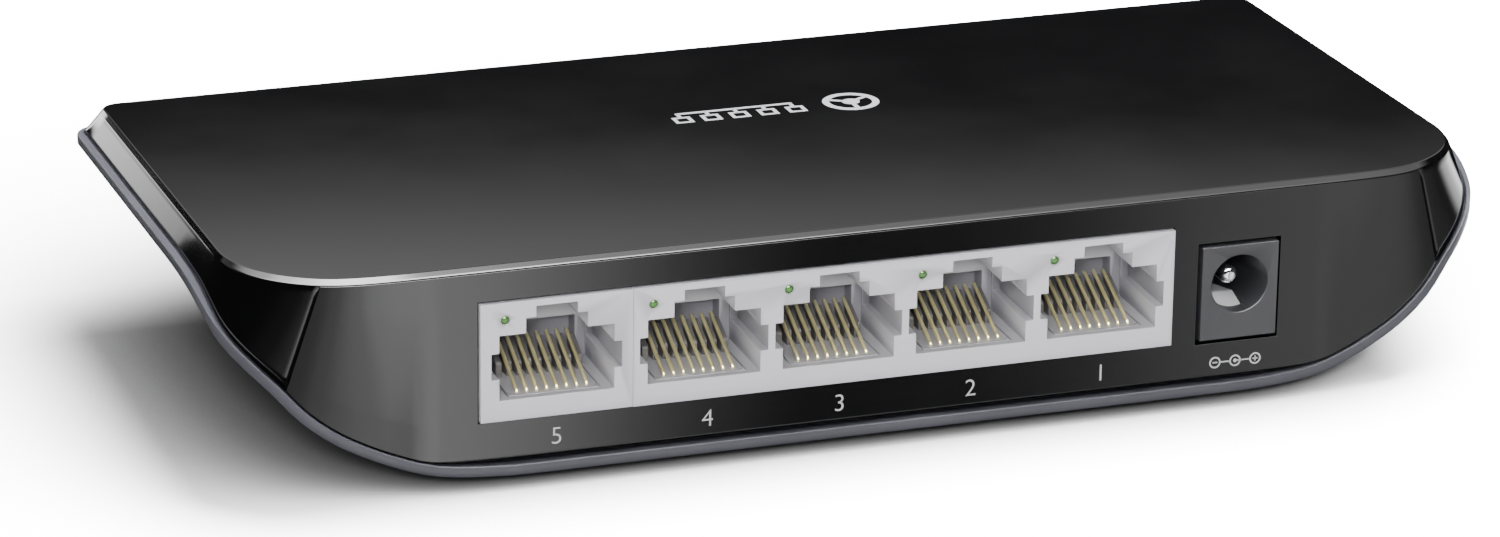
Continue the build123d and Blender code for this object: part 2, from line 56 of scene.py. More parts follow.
# ---------------------------------------------------------------- shape of the casing, in millimetres
TOP_Z = 23.0
FALL = 0.031
RIM_Z = 22.42
RIM_OUT = 0.42
HALF_TOP = 65.15
REAR_Y = -31.55
FRONT_Y = 32.15
REAR_R = 13.0
FRONT_R = 2.4
SEAM_TOP_X = 57.6
SEAM_LOW_X = 60.9
STRAIGHT_X = 44.0
LIP_OUT = 0.4
LIP_OUT_SIDE = 1.05
LIP_TALL = 1.12
LIP_FRONT_Y = 32.78
LIP_HALF = 67.5
LIP_FLAT_X = 38.0
LIP_FRONT_R = 3.0
GAP = 0.03
RIM_ARC = 0.09
RIM_ANGLE = 54.0
# outer upper edge of the lip, from the flat rear stretch up to the side
LIP_CURVE = [
    (38.0, -32.8, 2.58), (44.0, -32.45, 2.85), (47.5, -32.0, 3.35), (50.4, -31.55, 4.3),
    (53.0, -31.2, 5.4), (56.0, -30.7, 7.0), (59.0, -30.05, 9.3), (61.55, -29.05, 12.05),
    (63.8, -27.7, 14.2), (65.5, -26.0, 15.9), (66.6, -24.0, 17.35), (67.15, -21.2, 18.6),
    (67.4, -17.8, 19.45), (67.5, -13.5, 19.83), (67.5, -9.0, 19.8),
]
SIDE_START_Y = -9.0
SIDE_LIP_Z = 20.5
PANEL_BACK_Y = -30.2
COVER_WALL = 1.2
PANEL_WALL = 1.4
SEAM_SLACK = 0.01
# openings in the rear panel: (low, high) across and up
PORTS_X = (-42.22, 30.4)
PORTS_Z = (6.83, 19.37)
INLET_CUT_X = (33.1, 42.03)
INLET_CUT_Z = (6.48, 17.27)
CORNER_END_Y = -18.5


def drop(y):
    return FALL * (y - REAR_Y)


def catmull(points, before, after, steps=10):
    """Points along a smooth curve through the given ones."""
    chain = [Vector(before)] + [Vector(p) for p in points] + [Vector(after)]
    out = []
    for i in range(1, len(chain) - 2):
        a, b, c, d = chain[i - 1], chain[i], chain[i + 1], chain[i + 2]
        for k in range(steps):
            t = k / steps
            square = (2 * a - 5 * b + 4 * c - d) * t * t
            cube = (3 * b - a - 3 * c + d) * t ** 3
            out.append(0.5 * (2 * b + (c - a) * t + square + cube))
    out.append(chain[-2])
    return out


CURVE = catmull(LIP_CURVE, (32.0, -32.8, 2.58), (67.5, -5.0, 19.68))


def along(values, target):
    """Point of CURVE where the rising list of values reaches target."""
    i = min(max(bisect_left(values, target), 1), len(values) - 1)
    t = (target - values[i - 1]) / max(values[i] - values[i - 1], 1e-9)
    return CURVE[i - 1].lerp(CURVE[i], min(max(t, 0.0), 1.0))


CURVE_X = [p.x for p in CURVE]
CURVE_Y = [p.y for p in CURVE]
CURVE_LEN = [0.0]
for first, second in zip(CURVE, CURVE[1:]):
    CURVE_LEN.append(CURVE_LEN[-1] + (second - first).length)
SEAM_LEN = CURVE_LEN[bisect_left(CURVE_X, SEAM_LOW_X)]
CORNER_LEN = CURVE_LEN[bisect_left(CURVE_Y, CORNER_END_Y)]


def lip_at_x(x):
    return Vector((x, LIP_CURVE[0][1], LIP_CURVE[0][2])) if x <= LIP_FLAT_X else along(CURVE_X, x)


def lip_at_y(y):
    return along(CURVE_Y, y) if y < SIDE_START_Y else Vector((LIP_HALF, y, SIDE_LIP_Z - drop(y)))


def span(a, b, count):
    return [a + (b - a) * k / count for k in range(count + 1)]


def half_stations(rear_xs):
    """(top edge point, lip point) pairs from the rear middle round to the front middle, on the +X side."""
    pairs = []
    for x in rear_xs:
        pairs.append((Vector((x, REAR_Y, 0)), lip_at_x(x)))
    centre = Vector((HALF_TOP - REAR_R, REAR_Y + REAR_R, 0))
    seam_rise = REAR_R - math.sqrt(REAR_R ** 2 - (SEAM_TOP_X - centre.x) ** 2)
    for x in span(STRAIGHT_X, SEAM_TOP_X, 16)[1:]:
        y = REAR_Y + seam_rise * ((x - STRAIGHT_X) / (SEAM_TOP_X - STRAIGHT_X)) ** 5
        low_x = STRAIGHT_X + (x - STRAIGHT_X) * (SEAM_LOW_X - STRAIGHT_X) / (SEAM_TOP_X - STRAIGHT_X)
        pairs.append((Vector((x, y, 0)), lip_at_x(low_x)))
    seam_angle = math.asin((SEAM_TOP_X - centre.x) / REAR_R)
    count = 24
    for k in range(1, count + 1):
        t = k / count
        angle = seam_angle + (math.pi / 2 - seam_angle) * t
        top = centre + REAR_R * Vector((math.sin(angle), -math.cos(angle), 0))
        pairs.append((top, along(CURVE_LEN, SEAM_LEN + (CORNER_LEN - SEAM_LEN) * t)))
    top_end, low_end = FRONT_Y - FRONT_R, LIP_FRONT_Y - LIP_FRONT_R
    for t in span(0.0, 1.0, 20)[1:]:
        y = centre.y + (top_end - centre.y) * t
        pairs.append((Vector((HALF_TOP, y, 0)), lip_at_y(CORNER_END_Y + (low_end - CORNER_END_Y) * t)))
    for angle in span(0.0, math.pi / 2, 8)[1:]:
        c, s = math.cos(angle), math.sin(angle)
        low_y = low_end + LIP_FRONT_R * s
        top = Vector((HALF_TOP - FRONT_R + FRONT_R * c, top_end + FRONT_R * s, 0))
        low_x = LIP_HALF - LIP_FRONT_R + LIP_FRONT_R * c
        pairs.append((top, Vector((low_x, low_y, SIDE_LIP_Z - drop(low_y)))))
    for t in span(1.0, 0.0, 8)[1:]:
        low_y = LIP_FRONT_Y
        top = Vector(((HALF_TOP - FRONT_R) * t, FRONT_Y, 0))
        pairs.append((top, Vector(((LIP_HALF - LIP_FRONT_R) * t, low_y, SIDE_LIP_Z - drop(low_y)))))
    return pairs


PANEL_XS = [
    0.0, 7.0, 14.0, 21.0, 26.0, PORTS_X[1], INLET_CUT_X[0],
    36.0, 39.0, INLET_CUT_X[1], -PORTS_X[0], STRAIGHT_X,
]


def flip(p):
    return Vector((-p.x, p.y, p.z))


def loop_stations():
    right = half_stations(PANEL_XS)
    left = [(flip(t), flip(l)) for t, l in right[1:-1]]
    return right + left[::-1]


LOOP = loop_stations()
COUNT = len(LOOP)


def inward(points, i):
    """Horizontal unit normal towards the inside, at one point of a closed loop."""
    step = points[(i + 1) % len(points)] - points[i - 1]
    return Vector((-step.y, step.x, 0)).normalized()


TOPS = [t for t, _ in LOOP]
LIPS = [l for _, l in LOOP]
TOP_IN = [inward(TOPS, i) for i in range(COUNT)]
LIP_IN = [inward(LIPS, i) for i in range(COUNT)]


def ledge(i):
    """Width of the lip's ledge outside the wall: wider along the sides."""
    side = min(max((LIPS[i].y + 30.0) / 14.0, 0.0), 1.0)
    front = min(max((LIPS[i].y - 30.0) / 2.5, 0.0), 1.0)
    return LIP_OUT + (LIP_OUT_SIDE - LIP_OUT) * side * side * (3 - 2 * side) * (1 - front)


def foot_point(i):
    """Lower end of the casing's wall, on the lip."""
    p = LIPS[i] + LIP_IN[i] * ledge(i)
    return Vector((p.x, max(p.y, REAR_Y), p.z))


FEET_OF_WALL = [foot_point(i) for i in range(COUNT)]


def in_panel(i):
    """True where the wall from station i to i + 1 is part of the rear panel."""
    j = (i + 1) % COUNT
    at_rear = TOPS[i].y < PANEL_BACK_Y and TOPS[j].y < PANEL_BACK_Y
    return at_rear and max(abs(TOPS[i].x), abs(TOPS[j].x)) <= SEAM_TOP_X + SEAM_SLACK


# ---------------------------------------------------------------- mesh helpers
def new_object(name, verts, faces, smooth=True):
    mesh = bpy.data.meshes.new(name)
    mesh.from_pydata([Vector(v) * MM for v in verts], [], faces)
    mesh.validate()
    obj = bpy.data.objects.new(name, mesh)
    bpy.context.scene.collection.objects.link(obj)
    if smooth:
        for poly in mesh.polygons:
            poly.use_smooth = True
    return obj


def strip(name, rows, closed=True, keep=None):
    """Quads between rows of points; keep(row, column) says which are made."""
    width = len(rows[0])
    verts = [p for row in rows for p in row]
    faces = []
    for r in range(len(rows) - 1):
        for c in range(width if closed else width - 1):
            if keep and not keep(r, c):
                continue
            d = (c + 1) % width
            faces.append((r * width + c, r * width + d, (r + 1) * width + d, (r + 1) * width + c))
    return new_object(name, verts, faces)


def close_ring(obj, row):
    """Fills the ring of one row with a single face."""
    bm = bmesh.new()
    bm.from_mesh(obj.data)
    bm.verts.ensure_lookup_table()
    bm.faces.new([bm.verts[row * COUNT + i] for i in range(COUNT)])
    bm.to_mesh(obj.data)
    bm.free()


def tidy(obj, weld=1e-6):
    """Merges doubles, drops loose points and turns faces outwards."""
    bm = bmesh.new()
    bm.from_mesh(obj.data)
    bmesh.ops.remove_doubles(bm, verts=bm.verts, dist=weld)
    loose = [v for v in bm.verts if not v.link_faces]
    bmesh.ops.delete(bm, geom=loose, context="VERTS")
    bmesh.ops.recalc_face_normals(bm, faces=bm.faces)
    bm.to_mesh(obj.data)
    bm.free()


def sharpen(obj, degrees=35.0):
    obj.data.set_sharp_from_angle(angle=math.radians(degrees))


def bevel(obj, width, segments=2, degrees=30.0):
    mod = obj.modifiers.new("edge", "BEVEL")
    mod.width = width * MM
    mod.segments = segments
    mod.limit_method = "ANGLE"
    mod.angle_limit = math.radians(degrees)
    mod.harden_normals = True
    mod.use_clamp_overlap = True
    return mod


def solidify(obj, thickness, offset=-1.0):
    mod = obj.modifiers.new("wall", "SOLIDIFY")
    mod.thickness = thickness * MM
    mod.offset = offset
    mod.use_even_offset = True
    return mod


def apply_all(obj):
    """Turns the modifiers into mesh."""
    dg = bpy.context.evaluated_depsgraph_get()
    mesh = bpy.data.meshes.new_from_object(obj.evaluated_get(dg))
    obj.modifiers.clear()
    obj.data = mesh


def refined(node, name, body=ROOT, width=0.08, segments=2, degrees=25.0):
    """A finished piece with the CAD node's shape, its flats joined and its edges rounded."""
    obj = bpy.data.objects.new(name, NODES[node].data.copy())
    bpy.context.scene.collection.objects.link(obj)
    bm = bmesh.new()
    bm.from_mesh(obj.data)
    bmesh.ops.remove_doubles(bm, verts=bm.verts, dist=2e-6)
    flat = math.radians(1.0)
    bmesh.ops.dissolve_limit(bm, angle_limit=flat, verts=bm.verts, edges=bm.edges, delimit={"NORMAL"})
    bm.to_mesh(obj.data)
    bm.free()
    for poly in obj.data.polygons:
        poly.use_smooth = True
    sharpen(obj)
    if width:
        bevel(obj, width, segments, degrees)
    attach(obj, body)
    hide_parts(node)
    return obj


def spin(name, profile, place, steps=32, axis="Z"):
    """A turned piece: profile is (radius, height) pairs."""
    rows = []
    for radius, height in profile:
        row = []
        for k in range(steps):
            a = 2 * math.pi * k / steps
            across, along_arc = radius * math.cos(a), radius * math.sin(a)
            if axis == "Z":
                row.append(Vector((place[0] + across, place[1] + along_arc, place[2] + height)))
            else:
                row.append(Vector((place[0] + across, place[1] + height, place[2] + along_arc)))
        rows.append(row)
    obj = strip(name, rows)
    tidy(obj)
    sharpen(obj)
    return obj


def joined(name, objects):
    """One object made of several."""
    bm = bmesh.new()
    dg = bpy.context.evaluated_depsgraph_get()
    for obj in objects:
        mesh = bpy.data.meshes.new_from_object(obj.evaluated_get(dg))
        mesh.transform(obj.matrix_world)
        bm.from_mesh(mesh)
        bpy.data.meshes.remove(mesh)
    mesh = bpy.data.meshes.new(name)
    bm.to_mesh(mesh)
    bm.free()
    for obj in objects:
        bpy.data.objects.remove(obj)
    out = bpy.data.objects.new(name, mesh)
    bpy.context.scene.collection.objects.link(out)
    return out


# ---------------------------------------------------------------- materials
def node(tree, kind, **values):
    made = tree.nodes.new(kind)
    for key, value in values.items():
        if hasattr(made, key):
            setattr(made, key, value)
        else:
            made.inputs[key.replace("_", " ")].default_value = value
    return made


def mapped(tree, value, low, high, to_low, to_high, kind="LINEAR"):
    out = tree.nodes.new("ShaderNodeMapRange")
    out.interpolation_type = kind
    for key, number in (("From Min", low), ("From Max", high), ("To Min", to_low), ("To Max", to_high)):
        out.inputs[key].default_value = number
    tree.links.new(value, out.inputs["Value"])
    return out.outputs["Result"]


def surface(name, colour, rough, metal=0.0, vary=0.06, cloud=60.0, grain=2500.0, bump=0.03,
            rough_vary=0.04, wear=0.15, wear_colour=None, coat=0.0, transmission=0.0, brushed=False):
    """Procedural finish: clouded colour, uneven roughness, fine grain and lighter worn edges."""
    mat = bpy.data.materials.new(name)
    mat.use_nodes = True
    tree = mat.node_tree
    shader = tree.nodes["Principled BSDF"]
    shader.inputs["Metallic"].default_value = metal
    shader.inputs["Coat Weight"].default_value = coat
    shader.inputs["Coat Roughness"].default_value = 0.04
    shader.inputs["Transmission Weight"].default_value = transmission
    coords = tree.nodes.new("ShaderNodeTexCoord").outputs["Object"]
    if brushed:
        stretch = tree.nodes.new("ShaderNodeMapping")
        stretch.inputs["Scale"].default_value = (1.0, 0.08, 1.0)
        tree.links.new(coords, stretch.inputs["Vector"])
        coords = stretch.outputs["Vector"]
    clouds = node(tree, "ShaderNodeTexNoise", Scale=cloud, Detail=3.0, Roughness=0.55)
    fine = node(tree, "ShaderNodeTexNoise", Scale=grain, Detail=4.0, Roughness=0.6)
    tree.links.new(coords, clouds.inputs["Vector"])
    tree.links.new(coords, fine.inputs["Vector"])
    mix = tree.nodes.new("ShaderNodeMix")
    mix.data_type = "RGBA"
    mix.inputs["A"].default_value = (*[c * (1 - vary) for c in colour], 1)
    mix.inputs["B"].default_value = (*[min(1, c * (1 + vary)) for c in colour], 1)
    tree.links.new(mapped(tree, clouds.outputs["Fac"], 0.3, 0.7, 0, 1), mix.inputs["Factor"])
    edge = tree.nodes.new("ShaderNodeNewGeometry")
    worn = tree.nodes.new("ShaderNodeMix")
    worn.data_type = "RGBA"
    light = wear_colour or [min(1, c * 1.5 + 0.02) for c in colour]
    worn.inputs["B"].default_value = (*light, 1)
    tree.links.new(mix.outputs["Result"], worn.inputs["A"])
    tree.links.new(mapped(tree, edge.outputs["Pointiness"], 0.51, 0.6, 0, wear), worn.inputs["Factor"])
    tree.links.new(worn.outputs["Result"], shader.inputs["Base Color"])
    roughness = mapped(tree, clouds.outputs["Fac"], 0.3, 0.7, rough - rough_vary, rough + rough_vary)
    tree.links.new(roughness, shader.inputs["Roughness"])
    bumps = tree.nodes.new("ShaderNodeBump")
    bumps.inputs["Strength"].default_value = bump
    bumps.inputs["Distance"].default_value = 0.0001
    tree.links.new(fine.outputs["Fac"], bumps.inputs["Height"])
    tree.links.new(bumps.outputs["Normal"], shader.inputs["Normal"])
    return mat


MAT = {
    "cover_gloss": surface(
        "cover_gloss", (0.0016, 0.0016, 0.0018), 0.06, vary=0.1, bump=0.0004, rough_vary=0.01,
        wear=0.02,
    ),
    "panel_satin": surface(
        "panel_satin", (0.0018, 0.0018, 0.002), 0.075, vary=0.12, bump=0.0008, rough_vary=0.01,
        wear=0.02,
    ),
    "base_satin": surface("base_satin", (0.04, 0.04, 0.049), 0.38, vary=0.1, bump=0.08, grain=3500.0),
    "socket_grey": surface(
        "socket_grey", (0.26, 0.256, 0.28), 0.42, vary=0.04, bump=0.05, wear=0.3,
        wear_colour=(0.8, 0.8, 0.83),
    ),
    "insert_grey": surface(
        "insert_grey", (0.1, 0.095, 0.09), 0.45, vary=0.06, bump=0.05, wear=0.1,
        wear_colour=(0.3, 0.3, 0.3),
    ),
    "inlet_black": surface("inlet_black", (0.022, 0.022, 0.025), 0.4, vary=0.1, bump=0.06),
    "pin_chrome": surface(
        "pin_chrome", (0.82, 0.82, 0.84), 0.14, metal=1.0, vary=0.03, bump=0.01, wear=0.0,
    ),
    "leaf_chrome": surface(
        "leaf_chrome", (0.95, 0.95, 0.97), 0.3, metal=0.25, vary=0.03, bump=0.01, wear=0.0,
    ),
    "contact_gold": surface(
        "contact_gold", (0.62, 0.55, 0.24), 0.32, metal=0.6, vary=0.12, cloud=500.0, bump=0.02,
        wear=0.3, wear_colour=(0.95, 0.9, 0.75),
    ),
    "lens_green": surface(
        "lens_green", (0.05, 0.15, 0.03), 0.2, vary=0.15, cloud=2500.0, bump=0.01, coat=0.5,
    ),
    # Painted shade: dark colour of the thin ring that stands in for the groove's shade on the socket floors.
    "groove_shade_painted": surface("groove_shade_painted", (0.1, 0.1, 0.11), 0.6, vary=0.1, bump=0.02),
    "lens_ring": surface("lens_ring", (0.2, 0.22, 0.19), 0.4, vary=0.05),
    "foot_rubber": surface("foot_rubber", (0.02, 0.02, 0.02), 0.75, vary=0.2, bump=0.3, grain=4000.0),
    "screw_steel": surface(
        "screw_steel", (0.5, 0.5, 0.52), 0.3, metal=1.0, vary=0.06, bump=0.04, brushed=True,
    ),
    "board_green": surface("board_green", (0.015, 0.13, 0.06), 0.35, vary=0.15, cloud=200.0, bump=0.05),
    "chip_black": surface("chip_black", (0.025, 0.025, 0.027), 0.55, vary=0.15, bump=0.15, grain=5000.0),
    "sink_aluminium": surface("sink_aluminium", (0.6, 0.6, 0.62), 0.3, metal=1.0, bump=0.05, brushed=True),
    "can_aluminium": surface("can_aluminium", (0.72, 0.72, 0.74), 0.22, metal=1.0, bump=0.03),
    "can_steel": surface("can_steel", (0.6, 0.6, 0.6), 0.25, metal=1.0, bump=0.03),
    "inductor_grey": surface("inductor_grey", (0.08, 0.08, 0.085), 0.6, bump=0.2),
    "passive_tan": surface("passive_tan", (0.35, 0.26, 0.17), 0.5, vary=0.3, cloud=400.0),
    "lamp_white": surface("lamp_white", (0.8, 0.8, 0.72), 0.3),
    "guide_clear": surface("guide_clear", (0.85, 0.87, 0.9), 0.15, transmission=0.8, bump=0.01),
    "label_grey": surface("label_grey", (0.55, 0.55, 0.56), 0.4, vary=0.04, bump=0.04),
    "print_white": surface("print_white", (0.36, 0.36, 0.37), 0.5, vary=0.05, bump=0.02),
    "print_silver": surface("print_silver", (0.42, 0.42, 0.44), 0.35, metal=0.4, vary=0.05, bump=0.02),
}


def dress(obj, slot, material=None):
    obj.data.materials.clear()
    obj.data.materials.append(MAT[material or slot])
    return obj


# every CAD node gets its slot's finish
for entry in frame["record"]["subparts"]:
    mesh = NODES[entry["node"]].data
    mesh.materials.clear()
    mesh.materials.append(MAT[entry["material_slot"]])


# ---------------------------------------------------------------- top cover
def cover_rows():
    """Rows of points from just inside the top's edge out over its rounded rim to the top of the wall."""
    rows = []
    for inset in (0.6, 0.12):
        reach = RIM_OUT + RIM_ARC + inset
        rows.append([Vector((t.x, t.y, TOP_Z - drop(t.y))) + TOP_IN[i] * reach for i, t in enumerate(TOPS)])
        for p in rows[-1]:
            p.z = TOP_Z - drop(p.y)
    for turn in span(0.0, 1.0, 4):
        angle = math.radians(RIM_ANGLE) * turn
        row = []
        for i, t in enumerate(TOPS):
            p = t + TOP_IN[i] * (RIM_OUT + RIM_ARC - RIM_ARC * math.sin(angle))
            row.append(Vector((p.x, p.y, TOP_Z - RIM_ARC * (1 - math.cos(angle)) - drop(p.y))))
        rows.append(row)
    arc_end = rows[-1]
    for share in (0.08, 0.3, 0.7, 0.92):
        row = []
        for i, t in enumerate(TOPS):
            row.append(arc_end[i].lerp(Vector((t.x, t.y, RIM_Z + 0.03 - drop(t.y))), share))
        rows.append(row)
    rows.append([Vector((t.x, t.y, RIM_Z - drop(t.y))) for t in TOPS])
    return rows


def wall_point(i, share):
    top = Vector((TOPS[i].x, TOPS[i].y, RIM_Z - drop(TOPS[i].y)))
    return top.lerp(FEET_OF_WALL[i] + Vector((0, 0, 0.1)), share)


WALL_SHARES = span(0.0, 1.0, 10)
rows = cover_rows()
plate_rows = len(rows)
rows += [[wall_point(i, s) for i in range(COUNT)] for s in WALL_SHARES[1:]]
cover = strip("cover_shell", rows, keep=lambda r, c: r < plate_rows - 1 or not in_panel(c))
close_ring(cover, 0)
tidy(cover, 1e-6)
solidify(cover, COVER_WALL)
sharpen(cover, 40.0)
dress(cover, "cover_gloss")
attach(cover, ROOT)
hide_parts("top_cover")


# ---------------------------------------------------------------- rear panel
PANEL_LOW_Z = [INLET_CUT_Z[0], PORTS_Z[0], INLET_CUT_Z[1], PORTS_Z[1]]
PANEL_TOP = RIM_Z - 0.07


def panel_columns():
    cols = [i for i in range(COUNT) if TOPS[i].y < PANEL_BACK_Y and abs(TOPS[i].x) <= SEAM_TOP_X + SEAM_SLACK]
    return sorted(cols, key=lambda i: TOPS[i].x)


def panel_rows():
    cols = panel_columns()
    foot_ref = lip_at_x(STRAIGHT_X).z + 0.1
    cuts = [1 - (z - foot_ref) / (PANEL_TOP - foot_ref) for z in reversed(PANEL_LOW_Z)]
    shares = [0.0, 0.5] + cuts + [1.0]
    shares = sorted(set(shares))
    return cols, shares


cols, shares = panel_rows()
grid = []
for s in shares:
    row = []
    for i in cols:
        top = Vector((TOPS[i].x, TOPS[i].y, PANEL_TOP - drop(TOPS[i].y)))
        low = FEET_OF_WALL[i] + Vector((0, 0, 0.1))
        if abs(TOPS[i].x) <= STRAIGHT_X:
            ref = lip_at_x(STRAIGHT_X).z + 0.1
            z = PANEL_TOP + (ref - PANEL_TOP) * s if s < 1 else low.z
            p = Vector((top.x, REAR_Y, z))
        else:
            p = top.lerp(low, s)
        if abs(TOPS[i].x) > SEAM_TOP_X - SEAM_SLACK:
            p.x -= math.copysign(GAP, p.x)
        row.append(p)
    grid.append(row)


def panel_keep(r, c):
    a, b = grid[r][c], grid[r + 1][c + 1]
    x, z = (a.x + b.x) / 2, (a.z + b.z) / 2
    ports = PORTS_X[0] < x < PORTS_X[1] and PORTS_Z[0] < z < PORTS_Z[1]
    inlet = INLET_CUT_X[0] < x < INLET_CUT_X[1] and INLET_CUT_Z[0] < z < INLET_CUT_Z[1]
    return not (ports or inlet)


panel = strip("rear_panel_plate", grid, closed=False, keep=panel_keep)
tidy(panel)
solidify(panel, PANEL_WALL)
bevel(panel, 0.06, 2, 40.0)
sharpen(panel, 40.0)
dress(panel, "panel_satin")
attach(panel, ROOT)
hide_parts("rear_panel")


# ---------------------------------------------------------------- base: lip and hull
def lip_frame():
    """Length along the lip in plan, for every station."""
    length = [0.0]
    for i in range(1, COUNT + 1):
        a, b = LIPS[i - 1], LIPS[i % COUNT]
        length.append(length[-1] + math.hypot(b.x - a.x, b.y - a.y))
    return length


PLAN_LEN = lip_frame()


def lip_plan(s):
    """Point of the lip's plan at a length along it."""
    total = PLAN_LEN[-1]
    s = s % total
    i = min(max(bisect_left(PLAN_LEN, s), 1), COUNT)
    t = (s - PLAN_LEN[i - 1]) / max(PLAN_LEN[i] - PLAN_LEN[i - 1], 1e-9)
    return LIPS[i - 1].lerp(LIPS[i % COUNT], t)


def lip_ring(fall, out, share=0.0):
    """The lip's edge moved down its own face by fall, and inwards by out and a share of the ledge."""
    ring = []
    for i in range(COUNT):
        a, b = LIPS[i - 1], LIPS[(i + 1) % COUNT]
        run = math.hypot(b.x - a.x, b.y - a.y)
        slope = math.atan2(b.z - a.z, run)
        at = lip_plan(PLAN_LEN[i] + fall * math.sin(slope))
        z = LIPS[i].z - fall * math.cos(slope)
        p = Vector((at.x, at.y, z)) + LIP_IN[i] * (out + share * ledge(i))
        ring.append(p)
    return ring


FLAT_Z = LIP_CURVE[0][2] - LIP_TALL


BOTTOM_HALF = 44.0
BOTTOM_REAR = -27.5
BOTTOM_FRONT = 18.5
BOTTOM_R = 7.0


def bottom_point(i):
    """Matching point on the edge of the flat bottom."""
    lip = LIPS[i]
    half, rear, front, r = BOTTOM_HALF, BOTTOM_REAR, BOTTOM_FRONT, BOTTOM_R
    px = math.copysign(min(abs(lip.x) * half / LIP_HALF, half), lip.x)
    py = rear + (lip.y - LIP_CURVE[0][1]) * (front - rear) / (LIP_FRONT_Y - LIP_CURVE[0][1])
    ex = abs(px) - (half - r)
    for edge, sign in ((rear, -1), (front, 1)):
        ey = sign * (py - edge) + r
        if ex > 0 and ey > 0 and math.hypot(ex, ey) > r:
            k = r / math.hypot(ex, ey)
            px = math.copysign(half - r + ex * k, px)
            py = edge + sign * (ey * k - r)
    return Vector((px, py, FLAT_Z))


start_ring = lip_ring(LIP_TALL, 0.55)
hull_rows = []
for share in span(0.0, 1.0, 10):
    row = []
    for i in range(COUNT):
        start = start_ring[i]
        end = bottom_point(i)
        flat = Vector((end.x - start.x, end.y - start.y, 0))
        reach = min((start.z - FLAT_Z) / 0.98 / max(flat.length, 1e-6), 0.9)
        bend = Vector((start.x, start.y, FLAT_Z)) + flat * max(reach, 0.3)
        row.append(start * (1 - share) ** 2 + bend * 2 * share * (1 - share) + end * share ** 2)
    hull_rows.append(row)


def raised(points, inwards, up):
    return [p + LIP_IN[i] * inwards + Vector((0, 0, up)) for i, p in enumerate(points)]


def floor_ring(share, z):
    ring = []
    for i in range(COUNT):
        edge = bottom_point(i)
        ring.append(Vector((edge.x * (0.3 + 0.7 * share), edge.y * share - 4.0 * (1 - share), z)))
    return ring


WALL_IN = 1.0
base_rows = [floor_ring(share, FLAT_Z + WALL_IN) for share in (0.3, 0.6, 0.8)]
rises = span(1.0, 0.15, 10)
base_rows += [raised(row, WALL_IN, WALL_IN * share) for row, share in zip(hull_rows[::-1], rises)]
base_rows += [
    lip_ring(0.3, 1.2, 1.0),
    lip_ring(0.3, 0.0, 0.98),
    lip_ring(0.03, 0.0, 0.72),
    lip_ring(0.0, 0.0, 0.4),
    lip_ring(0.03, 0.05),
    lip_ring(0.14, 0.0),
    lip_ring(LIP_TALL * 0.5, 0.0),
    lip_ring(LIP_TALL - 0.14, 0.0),
    lip_ring(LIP_TALL - 0.03, 0.05),
    lip_ring(LIP_TALL, 0.16),
] + hull_rows
base_rows += [floor_ring(share, FLAT_Z) for share in (0.85, 0.6, 0.3)]
base = strip("base_pan", base_rows)
close_ring(base, len(base_rows) - 1)
close_ring(base, 0)
tidy(base)
for poly in base.data.polygons:
    poly.use_smooth = True
SCREW_PLACES = [(-45.4, -23.0), (-45.4, 13.0), (45.4, -23.0), (45.4, 13.0)]
SCREW_HOLE_R = 2.75
VENT_ROWS = (-6.0, 4.0)
VENT_PITCH = 4.5
VENT_R = 0.8
VENT_HALF = 3.2
CUP = [(2.8, 2.4), (2.8, 3.78), (1.3, 3.78), (1.3, 5.0), (3.6, 5.0), (3.6, 2.4), (2.8, 2.4)]


def vent_outline(x, y):
    """Slot with round ends, long along Y."""
    outline = []
    for a in span(0, 2 * math.pi, 24)[:-1]:
        end = math.copysign(VENT_HALF, math.sin(a) + 1e-9)
        outline.append((x + VENT_R * math.cos(a), y + end + VENT_R * math.sin(a)))
    return outline


def close_ends(obj):
    """Fills the open ends of a tube of quads and turns its faces outwards."""
    bm = bmesh.new()
    bm.from_mesh(obj.data)
    bmesh.ops.holes_fill(bm, edges=bm.edges)
    bmesh.ops.recalc_face_normals(bm, faces=bm.faces)
    bm.to_mesh(obj.data)
    bm.free()


cutters = []
for x, y in SCREW_PLACES:
    hole = [(0, 0), (SCREW_HOLE_R, 0), (SCREW_HOLE_R, 3.0), (0, 3.0)]
    cutters.append(spin("cutter", hole, (x, y, 0.0), 40))
for y in VENT_ROWS:
    for k in range(-4, 5):
        outline = vent_outline(k * VENT_PITCH, y)
        slot = strip("cutter", [[Vector((u, v, z)) for u, v in outline] for z in (0.5, 4.0)])
        close_ends(slot)
        cutters.append(slot)
cutter = joined("base_cutter", cutters)
cut = base.modifiers.new("cut", "BOOLEAN")
cut.object = cutter
cut.operation = "DIFFERENCE"
cut.solver = "EXACT"
apply_all(base)
bpy.data.objects.remove(cutter)
sharpen(base, 35.0)
for index, (x, y) in enumerate(SCREW_PLACES):
    cup = spin(f"screw_seat_{index + 1}", CUP, (x, y, 0.0), 40)
    dress(cup, "base_satin")
    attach(cup, ROOT)
dress(base, "base_satin")
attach(base, ROOT)
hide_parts("base_shell")

# ---------------------------------------------------------------- sockets, inlet, contacts
WIRE_R = 0.19
WIRE_PIVOT = (-30.2, 9.42)
WIRE_END = (-23.25, 12.44)
WIRE_PITCH = 1.02
WIRE_BEND = 0.34
WIRE_STUB = 0.95
WIRE_LEAD = 0.02
PLATE_LOW = 8.9
PLATE_TOP = 9.15
PLATE_FRONT = -31.0
PLATE_HALF = 4.6
COMB_BACK = -22.5
BAR_FRONT = -22.95
BAR_TOP = 10.2
BAR_HALF = 4.55
TOOTH_HALF = 0.26
END_TOOTH = 0.36


def port_middle(port):
    low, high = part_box(f"contact_springs_{port}")
    return (low.x + high.x) / 2 / MM


